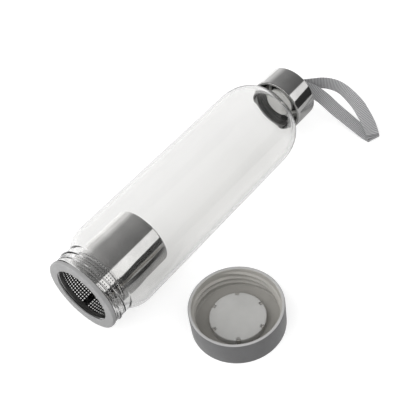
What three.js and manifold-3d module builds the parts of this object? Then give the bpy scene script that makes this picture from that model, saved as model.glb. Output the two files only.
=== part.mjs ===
// Glass tea infuser bottle as it is laid out for filling. The bottle lies on its side, with the
// perforated infuser cup in its base neck and the carry cap on its top neck. The base cap lies
// beside it, open side up. Millimetres, +Z up, floor at z = 0, origin under the base cap.
import * as THREE from 'three';
import { mergeGeometries, mergeVertices } from 'three/addons/utils/BufferGeometryUtils.js';
import Module from 'manifold-3d';

const wasm = await Module();
wasm.setup();

// Clearance between pieces that touch
const seatGap = 0.3;

// Glass bottle
const bodyRadius = 32.5;
const bodyWall = 2.0;
const bodyLength = 144;
const baseNeckRadius = 27.2;
const baseNeckWall = 2.3;
const baseNeckLength = 13.6;
const baseShoulderLength = 15;
const shoulderFlareShare = 0.13;
const shoulderCrownShare = 0.4;
const topNeckRadius = 18;
const topNeckWall = 2.2;
const topNeckLength = 17.2;
const domeHeight = 32;
// 2 gives an ellipse, and more a squarer dome
const domePower = 2.7;
const neckFillet = 1.5;
const neckBoreFillet = 2.5;

// Infuser cup and its silicone ring
const waterGap = 3.3;
const cupWall = 0.5;
const cupLength = 60;
const cupEndFillet = 1.5;
const flangeFillet = 0.8;
const flangeInset = 1.6;
const ringThickness = 3.1;
const ringOverhang = 0.6;
const ringFrontLip = 1.0;
const ringOpeningLip = 0.3;
const ringEdgeFillet = 0.8;
const ringSkirtLength = 1.5;

// Holes of the infuser cup: a square lattice, left out along the wall's welded seam
const holeColumns = 48;
const holeRows = 4;
const holeSize = 1.5;
const holeRowPitch = 2.8;
const holeBandStart = 6.4;
const seamColumns = 2;
const seamFirstColumn = 2;

// Base cap and its silicone pad
const baseThreadRoom = 1.8;
const baseCapWall = 2.3;
const baseCapFloor = 2.4;
const baseCapHeight = 19.8;
const baseCapFootFillet = 1.2;
const baseCapRimFillet = 0.6;
const padClearance = 2.0;
const padHeight = 5.3;
const padSkin = 2.1;
const padSkirt = 2.8;
const padEdgeFillet = 0.6;
const lugCount = 6;
const lugWidth = 2.4;
const lugDepth = 1.1;
const lugDrop = 0.8;
const lugFirstAngle = THREE.MathUtils.degToRad(39);

// Top cap: steel shell, threaded insert, neck seal and plug pad
const capGap = 5.2;
const capHeight = 19.9;
const shellWall = 0.6;
const shellEdgeFillet = 1.2;
const sleeveWall = 1.3;
const topThreadRoom = 1.0;
const shellHem = 0.5;
const sealThickness = 1.2;
const sealWidth = 4.5;
const plugInset = 5.2;
const plugLength = 7.4;
const plugPadThickness = 1.7;
const plugStudRadius = 3.0;
const plugStudLength = 3.7;

// Wire staple on the top cap, and the ribbon loop that it holds
const wireRadius = 1.1;
const stapleCorner = 2.0;
const stapleLegDepth = 4.2;
const stapleSideRoom = 0.5;
const ribbonPlateGap = 1.4;
const strapWidth = 10;
const strapThickness = 0.8;

// How the two lie on the floor
const layGap = 16.2;
const ringFaceX = -57.5;

// How far a cutting shape runs past the surface it cuts
const cutOvershoot = 1;

// Corners closer than this are one corner
const weldTolerance = 1e-4;

// Facets
const glassSegments = 44;
const wideSegments = 40;
const capSegments = 36;
const smallSegments = 24;
const filletSteps = 2;
const strapStepsPerSpan = 3;
const strapTurnSteps = 6;

// Heights in the standing bottle, counted up from the face of the infuser ring
const glassRim = ringThickness + seatGap;
const baseShoulderStart = glassRim + baseNeckLength;
const baseShoulderEnd = baseShoulderStart + baseShoulderLength;
const domeStart = baseShoulderEnd + bodyLength;
const domeEnd = domeStart + domeRise(topNeckRadius, bodyRadius, domeHeight);
const topRim = domeEnd + topNeckLength;
const capBottom = domeEnd + capGap;
const capTop = capBottom + capHeight;
const sealBottom = topRim + seatGap;
const insertDiscBottom = sealBottom + sealThickness + seatGap;
const insertTop = capTop - shellWall - seatGap;
const plugEnd = insertDiscBottom - plugLength;

// Radii that follow from the two necks
const bodyBore = bodyRadius - bodyWall;
const baseNeckBore = baseNeckRadius - baseNeckWall;
const topNeckBore = topNeckRadius - topNeckWall;
const cupRadius = baseNeckBore - waterGap;
const cupBore = cupRadius - cupWall;
const ringRadius = baseNeckRadius + ringOverhang;
const ringOpening = cupBore - ringOpeningLip;
const flangeRadius = ringRadius - flangeInset;
const baseCapBore = baseNeckRadius + baseThreadRoom;
const baseCapRadius = baseCapBore + baseCapWall;
const padRadius = ringOpening - padClearance;
const platformRadius = padRadius - padSkirt - seatGap;
const sleeveBore = topNeckRadius + topThreadRoom;
const sleeveRadius = sleeveBore + sleeveWall;
const shellBore = sleeveRadius + seatGap;
const shellRadius = shellBore + shellWall;
const plugRadius = topNeckBore - plugInset;

// The wire's crossbar and the ribbon's turn round it
const ribbonTurnRadius = wireRadius + seatGap + strapThickness / 2;
const barHeight = ribbonPlateGap + ribbonTurnRadius + strapThickness / 2;
const stapleHalfSpan = strapWidth / 2 + stapleSideRoom + stapleCorner;

// Points of an arc of an ellipse in the (radius, height) plane
function arc(centreR, centreZ, radiusR, radiusZ, from, to, steps) {
  const points = [];
  for (let i = 0; i <= steps; i += 1) {
    const angle = from + ((to - from) * i) / steps;
    points.push(new THREE.Vector2(
      centreR + radiusR * Math.cos(angle),
      centreZ + radiusZ * Math.sin(angle),
    ));
  }
  return points;
}

// Quarter turn of radius r, from one angle to the next
function fillet(centreR, centreZ, r, from, to) {
  return arc(centreR, centreZ, r, r, from, to, filletSteps);
}

function at(r, z) {
  return new THREE.Vector2(r, z);
}

// How far a dome of a width and a height has risen where it has narrowed to a radius
function domeRise(radius, width, height) {
  return height * (1 - (radius / width) ** domePower) ** (1 / domePower);
}

// Points of a dome, from its foot on the straight body up to a radius
function dome(width, height, topRadius, steps) {
  const points = [];
  const lastAngle = Math.acos((topRadius / width) ** (domePower / 2));
  for (let i = 0; i <= steps; i += 1) {
    const angle = (lastAngle * i) / steps;
    points.push(at(
      width * Math.cos(angle) ** (2 / domePower),
      domeStart + height * Math.sin(angle) ** (2 / domePower),
    ));
  }
  return points;
}

const east = 0;
const north = Math.PI / 2;
const west = Math.PI;
const south = -Math.PI / 2;
const southPastWest = 1.5 * Math.PI;

// Merges equal corners and drops triangles without area
function weld(geometry) {
  const bare = geometry.clone();
  bare.deleteAttribute('normal');
  bare.deleteAttribute('uv');
  const merged = mergeVertices(bare, weldTolerance);
  const kept = [];
  const index = merged.index.array;
  for (let i = 0; i < index.length; i += 3) {
    const [a, b, c] = index.slice(i, i + 3);
    if (a !== b && b !== c && c !== a) kept.push(a, b, c);
  }
  merged.setIndex(kept);
  return merged;
}

// Turns a profile of (radius, height) points about the vertical axis
function revolve(profile, segments) {
  const geometry = new THREE.LatheGeometry(profile, segments);
  geometry.rotateX(Math.PI / 2);
  return weld(geometry);
}

// A ring-shaped profile ends where it starts
function closed(profile) {
  return [...profile, profile[0]];
}

function toManifold(geometry) {
  const body = weld(geometry);
  return new wasm.Manifold(new wasm.Mesh({
    numProp: 3,
    vertProperties: new Float32Array(body.attributes.position.array),
    triVerts: new Uint32Array(body.index.array),
  }));
}

function fromManifold(manifold) {
  const mesh = manifold.getMesh();
  const geometry = new THREE.BufferGeometry();
  geometry.setAttribute('position', new THREE.BufferAttribute(mesh.vertProperties, 3));
  geometry.setIndex(new THREE.BufferAttribute(mesh.triVerts, 1));
  return geometry;
}

// Cuts a list of solids, clear of each other, out of one
function cut(geometry, tools) {
  return fromManifold(toManifold(geometry).subtract(toManifold(mergeGeometries(tools))));
}

function join(geometry, others) {
  return fromManifold(toManifold(geometry).add(toManifold(mergeGeometries(others))));
}

// An upright round rod from one height to another
function rod(radius, bottom, top, x, y) {
  const geometry = new THREE.CylinderGeometry(radius, radius, top - bottom, smallSegments / 2);
  geometry.rotateX(Math.PI / 2);
  geometry.translate(x, y, (bottom + top) / 2);
  return geometry;
}

// A block that stands out from the axis at an angle
function radialBlock(innerRadius, outerRadius, width, bottom, top, angle) {
  const geometry = new THREE.BoxGeometry(outerRadius - innerRadius, width, top - bottom);
  geometry.translate((innerRadius + outerRadius) / 2, 0, (bottom + top) / 2);
  geometry.rotateZ(angle);
  return geometry;
}

// Blown glass: threaded base neck, straight body, domed shoulder and top neck
function glassBottle() {
  const baseLip = baseNeckWall / 2;
  const topLip = topNeckWall / 2;
  const shoulderSteps = 6;
  const domeSteps = 8;
  const lipSteps = 4;
  const flare = baseShoulderLength * shoulderFlareShare;
  const crown = baseShoulderLength * shoulderCrownShare;
  const domeTopRadius = topNeckRadius + neckFillet;
  const domeBoreTopRadius = topNeckBore + neckBoreFillet;
  const domeBoreHeight = domeHeight - bodyWall;
  const domeBoreEnd = domeStart + domeRise(topNeckBore, bodyBore, domeBoreHeight);
  const outerShoulder = new THREE.CubicBezierCurve(
    at(baseNeckRadius, baseShoulderStart),
    at(baseNeckRadius, baseShoulderStart + flare),
    at(bodyRadius, baseShoulderStart + crown),
    at(bodyRadius, baseShoulderEnd),
  );
  const innerShoulder = new THREE.CubicBezierCurve(
    at(bodyBore, baseShoulderEnd),
    at(bodyBore, baseShoulderStart + crown + bodyWall),
    at(baseNeckBore, baseShoulderStart + flare + bodyWall),
    at(baseNeckBore, baseShoulderStart + bodyWall),
  );
  const neckTurn = new THREE.QuadraticBezierCurve(
    at(domeTopRadius, domeStart + domeRise(domeTopRadius, bodyRadius, domeHeight)),
    at(topNeckRadius, domeEnd),
    at(topNeckRadius, domeEnd + neckFillet),
  );
  const boreTurn = new THREE.QuadraticBezierCurve(
    at(topNeckBore, domeBoreEnd + neckBoreFillet),
    at(topNeckBore, domeBoreEnd),
    at(domeBoreTopRadius, domeStart + domeRise(domeBoreTopRadius, bodyBore, domeBoreHeight)),
  );
  return revolve(closed([
    ...arc(baseNeckBore + baseLip, glassRim + baseLip, baseLip, baseLip, -west, east, lipSteps),
    ...outerShoulder.getPoints(shoulderSteps),
    ...dome(bodyRadius, domeHeight, domeTopRadius, domeSteps),
    ...neckTurn.getPoints(filletSteps).slice(1),
    ...arc(topNeckBore + topLip, topRim - topLip, topLip, topLip, east, west, lipSteps),
    ...boreTurn.getPoints(filletSteps),
    ...dome(bodyBore, domeBoreHeight, domeBoreTopRadius, domeSteps).reverse().slice(1),
    ...innerShoulder.getPoints(shoulderSteps),
  ]), glassSegments);
}

// Drawn steel cup with a flange at its mouth and rows of holes just behind the ring
function infuserCup() {
  const flangeFront = ringFrontLip + seatGap;
  const flangeBack = flangeFront + cupWall;
  const flangeBend = [cupRadius + flangeFillet, flangeBack + flangeFillet];
  const endBend = [cupRadius - cupEndFillet, cupLength - cupEndFillet];
  const cup = revolve([
    at(0, cupLength - cupWall),
    ...fillet(...endBend, cupEndFillet - cupWall, north, east),
    ...fillet(...flangeBend, flangeFillet + cupWall, west, southPastWest),
    at(flangeRadius, flangeFront),
    at(flangeRadius, flangeBack),
    ...fillet(...flangeBend, flangeFillet, southPastWest, west),
    ...fillet(...endBend, cupEndFillet, east, north),
    at(0, cupLength),
  ], holeColumns);
  const columnAngle = (2 * Math.PI) / holeColumns;
  const punches = [];
  for (let column = 0; column < holeColumns; column += 1) {
    const inSeam = column >= seamFirstColumn && column < seamFirstColumn + seamColumns;
    for (let row = 0; row < holeRows && !inSeam; row += 1) {
      const bottom = holeBandStart + row * holeRowPitch - holeSize / 2;
      const angle = (column + 0.5) * columnAngle;
      punches.push(radialBlock(
        cupBore - cupWall,
        cupRadius + cupWall,
        holeSize,
        bottom,
        bottom + holeSize,
        angle,
      ));
    }
  }
  return cut(cup, punches);
}

// Silicone ring that grips the cup's flange, seals on the glass rim and lines the neck
function infuserRing() {
  const grooveFront = ringFrontLip;
  const grooveBack = ringFrontLip + cupWall + 2 * seatGap;
  const grooveRadius = flangeRadius + seatGap;
  const backBore = cupRadius + flangeFillet + seatGap;
  const skirtRadius = baseNeckBore - seatGap;
  return revolve(closed([
    at(ringOpening, 0),
    ...fillet(ringRadius - ringEdgeFillet, ringEdgeFillet, ringEdgeFillet, south, east),
    ...fillet(ringRadius - ringEdgeFillet, ringThickness - ringEdgeFillet, ringEdgeFillet, east, north),
    at(skirtRadius, ringThickness),
    at(skirtRadius, ringThickness + ringSkirtLength),
    at(backBore, ringThickness + ringSkirtLength),
    at(backBore, grooveBack),
    at(grooveRadius, grooveBack),
    at(grooveRadius, grooveFront),
    at(ringOpening, grooveFront),
  ]), wideSegments);
}

// Moulded screw cap for the base, with a raised platform and lugs that hold its pad
function baseCap() {
  const platformTop = baseCapFloor + padHeight - padSkin - seatGap;
  const lugTop = baseCapFloor + padHeight - lugDrop;
  const lugOuter = padRadius - seatGap;
  const rimMiddle = baseCapHeight - baseCapRimFillet;
  const cap = revolve([
    at(0, 0),
    ...fillet(baseCapRadius - baseCapFootFillet, baseCapFootFillet, baseCapFootFillet, south, east),
    ...fillet(baseCapRadius - baseCapRimFillet, rimMiddle, baseCapRimFillet, east, north),
    ...fillet(baseCapBore + baseCapRimFillet, rimMiddle, baseCapRimFillet, north, west),
    at(baseCapBore, baseCapFloor),
    at(platformRadius, baseCapFloor),
    at(platformRadius, platformTop),
    at(0, platformTop),
  ], wideSegments);
  const lugs = [];
  for (let i = 0; i < lugCount; i += 1) {
    const angle = lugFirstAngle + (i * 2 * Math.PI) / lugCount;
    lugs.push(radialBlock(lugOuter - lugDepth, lugOuter, lugWidth, baseCapFloor / 2, lugTop, angle));
  }
  return join(cap, lugs);
}

// Silicone pad that plugs the ring's opening, notched for the cap's lugs
function baseCapPad() {
  const top = baseCapFloor + padHeight;
  const bottom = baseCapFloor + seatGap;
  const skirtBore = padRadius - padSkirt;
  const pad = revolve([
    at(0, top - padSkin),
    at(skirtBore, top - padSkin),
    at(skirtBore, bottom),
    at(padRadius, bottom),
    ...fillet(padRadius - padEdgeFillet, top - padEdgeFillet, padEdgeFillet, east, north),
    at(0, top),
  ], capSegments);
  const notches = [];
  const notchWidth = lugWidth + 2 * seatGap;
  const notchFloor = padRadius - lugDepth - 2 * seatGap;
  for (let i = 0; i < lugCount; i += 1) {
    const angle = lugFirstAngle + (i * 2 * Math.PI) / lugCount;
    notches.push(radialBlock(
      notchFloor,
      padRadius + cutOvershoot,
      notchWidth,
      0,
      top + cutOvershoot,
      angle,
    ));
  }
  return cut(pad, notches);
}

// Polished steel shell of the top cap, hemmed inwards under the insert, with two holes for the staple
function topCapShell() {
  const edgeHeight = capTop - shellEdgeFillet;
  const shell = revolve([
    at(0, capTop - shellWall),
    ...fillet(shellRadius - shellEdgeFillet, edgeHeight, shellEdgeFillet - shellWall, north, east),
    at(shellBore, capBottom + shellHem),
    at(sleeveBore, capBottom + shellHem),
    at(sleeveBore, capBottom),
    at(shellRadius, capBottom),
    ...fillet(shellRadius - shellEdgeFillet, edgeHeight, shellEdgeFillet, east, north),
    at(0, capTop),
  ], capSegments);
  const holeRadius = wireRadius + seatGap;
  return cut(shell, [
    rod(holeRadius, insertTop, capTop + cutOvershoot, stapleHalfSpan, 0),
    rod(holeRadius, insertTop, capTop + cutOvershoot, -stapleHalfSpan, 0),
  ]);
}

// Moulded liner of the top cap: threaded sleeve, top disc and a plug down the neck
function topCapInsert() {
  const sleeveBottom = capBottom + shellHem + seatGap;
  const shellCorner = shellEdgeFillet;
  const studBore = plugStudRadius + seatGap;
  const studBoreEnd = plugEnd + plugStudLength;
  const insert = revolve([
    at(0, studBoreEnd),
    at(studBore, studBoreEnd),
    at(studBore, plugEnd),
    at(plugRadius, plugEnd),
    at(plugRadius, insertDiscBottom),
    at(sleeveBore, insertDiscBottom),
    at(sleeveBore, sleeveBottom),
    at(sleeveRadius, sleeveBottom),
    at(sleeveRadius, insertTop - shellCorner),
    at(sleeveRadius - shellCorner, insertTop),
    at(0, insertTop),
  ], capSegments);
  const holeRadius = wireRadius + seatGap;
  const holeBottom = insertTop - stapleLegDepth - seatGap;
  return cut(insert, [
    rod(holeRadius, holeBottom, insertTop + cutOvershoot, stapleHalfSpan, 0),
    rod(holeRadius, holeBottom, insertTop + cutOvershoot, -stapleHalfSpan, 0),
  ]);
}

// Flat silicone washer between the glass rim and the insert
function neckSeal() {
  const outer = sleeveBore - seatGap;
  const inner = outer - sealWidth;
  return revolve(closed([
    at(inner, sealBottom),
    at(outer, sealBottom),
    at(outer, sealBottom + sealThickness),
    at(inner, sealBottom + sealThickness),
  ]), smallSegments);
}

// Pale silicone pad on the end of the plug, held by a stud
function plugPad() {
  const back = plugEnd - seatGap;
  const front = back - plugPadThickness;
  return revolve([
    at(0, front),
    at(plugRadius, front),
    at(plugRadius, back),
    at(plugStudRadius, back),
    at(plugStudRadius, back + plugStudLength),
    at(0, back + plugStudLength),
  ], smallSegments);
}

// Bent wire whose legs stand in the top cap and whose crossbar holds the ribbon
function strapStaple() {
  const foot = insertTop - stapleLegDepth;
  const bar = capTop + barHeight;
  const side = stapleHalfSpan;
  const inner = stapleHalfSpan - stapleCorner;
  const bend = bar - stapleCorner;
  const point = (x, z) => new THREE.Vector3(x, 0, z);
  const wire = new THREE.CurvePath();
  wire.add(new THREE.LineCurve3(point(-side, foot), point(-side, bend)));
  wire.add(new THREE.QuadraticBezierCurve3(point(-side, bend), point(-side, bar), point(-inner, bar)));
  wire.add(new THREE.LineCurve3(point(-inner, bar), point(inner, bar)));
  wire.add(new THREE.QuadraticBezierCurve3(point(inner, bar), point(side, bar), point(side, bend)));
  wire.add(new THREE.LineCurve3(point(side, bend), point(side, foot)));
  const section = new THREE.Shape();
  section.absarc(0, 0, wireRadius, 0, 2 * Math.PI, false);
  const wireSteps = 26;
  const sectionQuarter = 2;
  return weld(new THREE.ExtrudeGeometry(section, {
    steps: wireSteps,
    curveSegments: sectionQuarter * 2,
    bevelEnabled: false,
    extrudePath: wire,
  }));
}

// Route of the ribbon's middle line: distance out from the cap's top plate, sideways
// distance from the bottle's axis, and height as a share of the axis height
const strapLowerLeg = [
  [7.5, -3.4, 0.985],
  [12.5, -11, 0.85],
  [15, -19, 0.68],
  [16, -28, 0.48],
  [17, -37, 0.31],
  [17.5, -46, 0.165],
  [17.2, -55, 0.06],
];
const strapUpperLeg = [
  [19.5, -59, 0.17],
  [20.5, -55.4, 0.34],
  [21.5, -50.4, 0.52],
  [22.5, -45.2, 0.68],
  [23.5, -38.6, 0.8],
  [24.6, -32, 0.875],
  [25.2, -25.5, 0.91],
  [24, -19, 0.93],
  [21, -13, 0.945],
  [16.5, -8, 0.955],
  [11, -2.6, 0.975],
  [7, 0.8, 0.99],
];
const strapTip = [17, -62.2];
const strapCrease = new THREE.Vector3(0.93, -0.36, 0).normalize();
const strapFoldRadius = 0.75;
const strapFloorGap = 0.35;

// Woven ribbon loop: upright where it turns round the wire, flat where it folds on the floor
function carryStrap() {
  const axisHeight = bodyRadius;
  const lowTip = strapFloorGap + strapThickness / 2;
  const foldReach = new THREE.Vector3(strapCrease.y, -strapCrease.x, 0);
  const tip = new THREE.Vector3(strapTip[0], strapTip[1], lowTip);
  const lift = (height) => new THREE.Vector3(0, 0, height * strapFoldRadius);
  const leg = (points) => points.map(([x, y, share]) => new THREE.Vector3(x, y, share * axisHeight));
  const lower = [new THREE.Vector3(barHeight, -ribbonTurnRadius, axisHeight), ...leg(strapLowerLeg)];
  const upper = [...leg(strapUpperLeg), new THREE.Vector3(barHeight, ribbonTurnRadius, axisHeight)];
  const fold = [
    tip,
    tip.clone().add(lift(1)).addScaledVector(foldReach, strapFoldRadius),
    tip.clone().add(lift(2)),
  ];
  const turn = [];
  for (let i = 1; i < strapTurnSteps; i += 1) {
    const angle = (i * Math.PI) / strapTurnSteps;
    const out = barHeight - ribbonTurnRadius * Math.sin(angle);
    turn.push(new THREE.Vector3(out, ribbonTurnRadius * Math.cos(angle), axisHeight));
  }
  const route = [...lower, ...fold, ...upper, ...turn];
  const curve = new THREE.CatmullRomCurve3(route, true, 'centripetal');

  // Share of a quarter turn that the ribbon leans from upright towards the crease
  const leanShare = (position) => {
    if (position <= lower.length) return 1 - (1 - position / lower.length) ** 3;
    const afterFold = position - lower.length - fold.length + 1;
    if (afterFold <= 0) return 1;
    return Math.max(0, 1 - afterFold / (upper.length - 1)) ** 2;
  };
  const up = new THREE.Vector3(0, 0, 1);
  const corners = [];
  const sections = route.length * strapStepsPerSpan;
  for (let i = 0; i < sections; i += 1) {
    const share = i / sections;
    const lean = leanShare(share * route.length) * (Math.PI / 2);
    const centre = curve.getPoint(share);
    const along = curve.getTangent(share);
    const across = up.clone().multiplyScalar(Math.cos(lean)).addScaledVector(strapCrease, Math.sin(lean));
    across.addScaledVector(along, -across.dot(along)).normalize();
    const face = new THREE.Vector3().crossVectors(along, across);
    for (const [a, f] of [[1, 1], [-1, 1], [-1, -1], [1, -1]]) {
      const corner = centre.clone();
      corner.addScaledVector(across, (a * strapWidth) / 2);
      corner.addScaledVector(face, (f * strapThickness) / 2);
      corners.push(corner.x, corner.y, corner.z);
    }
  }
  const index = [];
  const sides = 4;
  for (let i = 0; i < sections; i += 1) {
    const next = (i + 1) % sections;
    for (let k = 0; k < sides; k += 1) {
      const a = i * sides + k;
      const b = i * sides + ((k + 1) % sides);
      const c = next * sides + ((k + 1) % sides);
      const d = next * sides + k;
      index.push(a, b, c, a, c, d);
    }
  }
  const geometry = new THREE.BufferGeometry();
  geometry.setAttribute('position', new THREE.Float32BufferAttribute(corners, 3));
  geometry.setIndex(index);
  return geometry;
}

function finish(color, roughness, metalness) {
  return { color, roughness, metalness };
}

const clearGlass = { ...finish(0xe9ecea, 0.05, 0), transparent: true, opacity: 0.35 };
const polishedSteel = finish(0xb9b9bb, 0.15, 1);
const greySilicone = finish(0xa2a2a2, 0.6, 0);
const paleSilicone = finish(0xb4b3b0, 0.6, 0);
const greyPlastic = finish(0x86868a, 0.5, 0);
const linerPlastic = finish(0x3f3f3f, 0.5, 0);
const greyRibbon = finish(0x9a9aa0, 0.9, 0);

function piece(name, geometry, look) {
  const mesh = new THREE.Mesh(geometry, new THREE.MeshStandardMaterial(look));
  mesh.name = name;
  return mesh;
}

// The standing bottle is turned about Y, so that its base neck points to -X
const lyingBottle = new THREE.Group();
const axisY = baseCapRadius + layGap + bodyRadius;
lyingBottle.position.set(ringFaceX, axisY, bodyRadius);
lyingBottle.rotation.y = Math.PI / 2;
lyingBottle.add(
  piece('glass_bottle', glassBottle(), clearGlass),
  piece('infuser_cup', infuserCup(), polishedSteel),
  piece('infuser_ring', infuserRing(), greySilicone),
  piece('top_cap_shell', topCapShell(), polishedSteel),
  piece('top_cap_insert', topCapInsert(), linerPlastic),
  piece('neck_seal', neckSeal(), paleSilicone),
  piece('plug_pad', plugPad(), paleSilicone),
  piece('strap_staple', strapStaple(), polishedSteel),
);

const strap = piece('carry_strap', carryStrap(), greyRibbon);
strap.position.set(ringFaceX + capTop, axisY, 0);

const bottle = new THREE.Group();
bottle.add(
  lyingBottle,
  strap,
  piece('base_cap', baseCap(), greyPlastic),
  piece('base_cap_pad', baseCapPad(), paleSilicone),
);

export default bottle;
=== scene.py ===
import math

import bmesh
import bpy
from mathutils import Matrix, Vector


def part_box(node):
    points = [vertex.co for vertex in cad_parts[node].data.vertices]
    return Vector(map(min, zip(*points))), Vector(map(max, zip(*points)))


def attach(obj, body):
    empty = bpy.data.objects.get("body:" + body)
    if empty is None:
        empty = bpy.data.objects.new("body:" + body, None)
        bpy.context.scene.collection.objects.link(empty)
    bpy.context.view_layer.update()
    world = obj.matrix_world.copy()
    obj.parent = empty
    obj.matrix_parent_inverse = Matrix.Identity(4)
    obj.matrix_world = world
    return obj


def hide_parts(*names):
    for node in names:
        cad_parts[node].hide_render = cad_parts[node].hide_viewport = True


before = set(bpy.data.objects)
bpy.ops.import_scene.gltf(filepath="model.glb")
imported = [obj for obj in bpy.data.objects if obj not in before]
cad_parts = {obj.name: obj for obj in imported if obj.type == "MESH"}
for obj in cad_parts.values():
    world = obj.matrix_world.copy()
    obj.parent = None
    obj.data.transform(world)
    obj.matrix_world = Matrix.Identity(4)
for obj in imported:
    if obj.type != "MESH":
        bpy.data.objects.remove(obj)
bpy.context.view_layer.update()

# Sizes are in millimetres here, and meshes are made in metres
MM = 0.001
TURN = 2 * math.pi
QUARTER = math.pi / 2
FLOOR_Z = 0.0


# Sizes read from the boxes of the CAD parts

def box_mm(node):
    low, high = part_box(node)
    return Vector(low) / MM, Vector(high) / MM


ring_low, ring_high = box_mm("infuser_ring")
face_x = ring_low.x
axis_y = (ring_low.y + ring_high.y) / 2
axis_z = (ring_low.z + ring_high.z) / 2


def turned_box(node):
    """Radius, and both ends along the bottle from the ring's face, of a round node of the bottle"""
    low, high = box_mm(node)
    return (high.y - low.y) / 2, low.x - face_x, high.x - face_x


body_radius, glass_rim, top_rim = turned_box("glass_bottle")
flange_radius, flange_front, cup_end = turned_box("infuser_cup")
ring_radius, _, skirt_end = turned_box("infuser_ring")
shell_radius, cap_bottom, cap_top = turned_box("top_cap_shell")
sleeve_radius, sleeve_bottom, insert_top = turned_box("top_cap_insert")
seal_radius, seal_bottom, seal_top = turned_box("neck_seal")
plug_radius, plug_front, stud_end = turned_box("plug_pad")
base_low, base_high = box_mm("base_cap")
base_radius = (base_high.x - base_low.x) / 2
base_height = base_high.z
pad_low, pad_high = box_mm("base_cap_pad")
pad_radius = (pad_high.x - pad_low.x) / 2
staple_low, staple_high = box_mm("strap_staple")

# Sizes that the boxes don't show, as in the part's source
seat_gap = 0.3
body_wall = 2.0
base_neck_radius = 27.2
base_neck_wall = 2.3
base_neck_length = 13.6
shoulder_length = 15
shoulder_flare = 0.13 * shoulder_length
shoulder_crown = 0.4 * shoulder_length
top_neck_radius = 18
top_neck_wall = 2.2
top_neck_length = 17.2
dome_height = 32
dome_power = 2.7
water_gap = 3.3
cup_radius = base_neck_radius - base_neck_wall - water_gap
cup_wall = 0.5
cup_end_fillet = 1.5
flange_fillet = 0.8
ring_thickness = 3.1
ring_opening_lip = 0.3
ring_opening = cup_radius - cup_wall - ring_opening_lip
ring_edge = 0.8
ring_lip = 1.0
base_thread_room = 1.8
base_bore = base_neck_radius + base_thread_room
base_floor = 2.4
pad_skin = 2.1
pad_skirt = 2.8
platform_radius = pad_radius - pad_skirt - seat_gap
lug_count = 6
lug_width = 2.4
lug_depth = 1.1
lug_first_angle = math.radians(39)
shell_wall = 0.6
shell_edge = 1.2
top_thread_room = 1.0
sleeve_bore = top_neck_radius + top_thread_room
seal_width = 4.5
disc_bottom = seal_top + seat_gap
plug_pad_thickness = 1.7
plug_end = plug_front + plug_pad_thickness + seat_gap
stud_length = stud_end - plug_end + seat_gap
stud_radius = 3.0
wire_radius = 1.1
staple_corner = 2.0
plate_x = face_x + cap_top

# Sizes that differ from the part's source: rounder neck fillets and easier fits
neck_fillet = 2.5
neck_bore_fillet = 6.5
lug_drop = 0.9
lug_fit = 0.25

# Screw threads. Three ridges at the base, and one at the top, climb one lead in a turn.
thread_margin = 0.3
base_thread_starts = 3
base_thread_lead = 13.5
base_neck_thread_low = 5.8
base_neck_thread_high = 12.8
base_neck_thread_angle = math.radians(122)
base_neck_crest = 0.85
base_neck_half_width = 0.7
base_cap_thread_low = 4.6
base_cap_thread_high = base_height - 3
base_cap_thread_angle = math.radians(103)
base_cap_crest = 1.4
base_cap_half_width = 1.5
top_thread_lead = 4.5
top_thread_start = sleeve_bottom + 2
top_neck_thread_end = top_rim - 2.5
liner_thread_end = disc_bottom - 2
top_thread_crest = 0.7
top_thread_half_width = 1.1

# Perforated band of the infuser cup
hole_columns = 72
hole_rows = 7
hole_pitch = 1.86
hole_radius = 0.5
hole_band_start = 4.75
seam_first = 3
seam_columns = 2

# Lathe steps
fine_segments = 192
coarse_segments = 96


# Outlines in the (radius, height) plane

def arc(centre, radius, start, end, steps):
    """Points of an arc; radius is one number, or two for an ellipse"""
    radius_r, radius_z = radius if isinstance(radius, tuple) else (radius, radius)
    points = []
    for i in range(steps + 1):
        angle = start + (end - start) * i / steps
        points.append((centre[0] + radius_r * math.cos(angle), centre[1] + radius_z * math.sin(angle)))
    return points


def bezier(a, b, c, d, steps):
    points = []
    for i in range(steps + 1):
        t = i / steps
        weights = ((1 - t) ** 3, 3 * t * (1 - t) ** 2, 3 * t * t * (1 - t), t ** 3)
        points.append(tuple(sum(w * p[k] for w, p in zip(weights, (a, b, c, d))) for k in (0, 1)))
    return points


def threaded(radius, start, end, steps, sign):
    """Points of a straight wall that a thread stands out of (sign 1) or into (sign -1)"""
    return [(radius, start + (end - start) * i / steps, sign) for i in range(steps + 1)]


def smooth(value):
    share = min(1, max(0, value))
    return share * share * (3 - 2 * share)


def thread(lead, low, high, first_angle, crest, half_width, starts, steep):
    """Height of a right-hand thread above its root, at an angle and a height. Its bearing flank is
    steep and looks up (steep 1) or down (steep -1); the other one slopes."""
    span = TURN * (high - low) / lead
    fade = TURN / 9
    steep_share = 0.85
    slope_share = 1.0

    def ridge(angle, height):
        best = 0
        for start in range(starts):
            begin = first_angle + TURN * start / starts
            run = (angle - begin) % TURN
            while run <= span:
                offset = steep * (height - low - lead * run / TURN) / half_width
                flanks = smooth((1 - offset) / steep_share) * smooth((1 + offset) / slope_share)
                ends = smooth(run / fade) * smooth((span - run) / fade)
                best = max(best, crest * ends * flanks)
                run += TURN
        return best

    return ridge


# Meshes

def new_object(name, mesh):
    obj = bpy.data.objects.new(name, mesh)
    bpy.context.scene.collection.objects.link(obj)
    return obj


def mesh_object(name, points, faces, place=Matrix(), sharp=38):
    """A smooth-shaded mesh from points in millimetres, moved by place"""
    weld_distance = 1e-6
    mesh = bpy.data.meshes.new(name)
    mesh.from_pydata([MM * (place @ Vector(p)) for p in points], [], faces)
    edit = bmesh.new()
    edit.from_mesh(mesh)
    bmesh.ops.remove_doubles(edit, verts=edit.verts, dist=weld_distance)
    bmesh.ops.recalc_face_normals(edit, faces=edit.faces)
    edit.to_mesh(mesh)
    edit.free()
    mesh.shade_smooth()
    mesh.set_sharp_from_angle(angle=math.radians(sharp))
    return new_object(name, mesh)


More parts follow.
